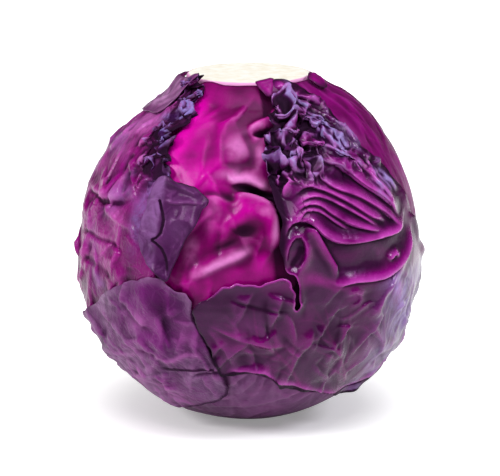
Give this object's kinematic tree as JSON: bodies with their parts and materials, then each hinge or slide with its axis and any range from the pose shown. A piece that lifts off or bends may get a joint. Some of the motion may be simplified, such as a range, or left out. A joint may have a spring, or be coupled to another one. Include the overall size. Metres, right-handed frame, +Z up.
{
  "type": "red cabbage head",
  "caption": "Whole red cabbage standing stem up on a small flat spot, with a cut stem face and loose, crumpled outer leaves.",
  "frame": {"origin": "centre of the head's box at the level of the small flat spot that it rests on", "axes": "+Z up along the stem to the cut face, -Y out of the front with the torn flap and the smooth bright leaf, +X to the ruffled side"},
  "size_m": [0.145, 0.1454, 0.1415],
  "materials": {
    "inner_leaves": "dark magenta leaf skin, mostly hidden",
    "cut_stem": "freshly cut cream pith with a pink rim",
    "fresh_leaf": "smooth glossy bright magenta leaf with paler patches",
    "smooth_leaf": "smooth satin purple leaf with fine veins",
    "veined_leaf": "waxy purple-pink leaf with raised veins and fine wrinkles",
    "waxy_leaf": "dull purple leaf under a pale waxy bloom",
    "ruffled_leaf_skin": "glossy dark purple leaf, crumpled into folds",
    "withered_leaf": "limp slate-purple leaf with dark torn edges",
    "leaf_base": "purple leaf base scrap"
  },
  "bodies": {
    "root": {"inner_head": "inner_leaves", "stem": "cut_stem", "front_leaf": "fresh_leaf", "right_leaf": "smooth_leaf", "back_leaf": "smooth_leaf", "left_leaf": "veined_leaf", "bottom_leaf": "waxy_leaf", "back_left_leaf": "veined_leaf", "back_right_leaf": "smooth_leaf", "lower_left_leaf": "waxy_leaf", "ruffled_leaf": "ruffled_leaf_skin", "torn_flap": "withered_leaf", "left_shoulder_leaf": "smooth_leaf", "leaf_scale": "leaf_base", "rim_scale": "leaf_base"}
  },
  "joints": []
}
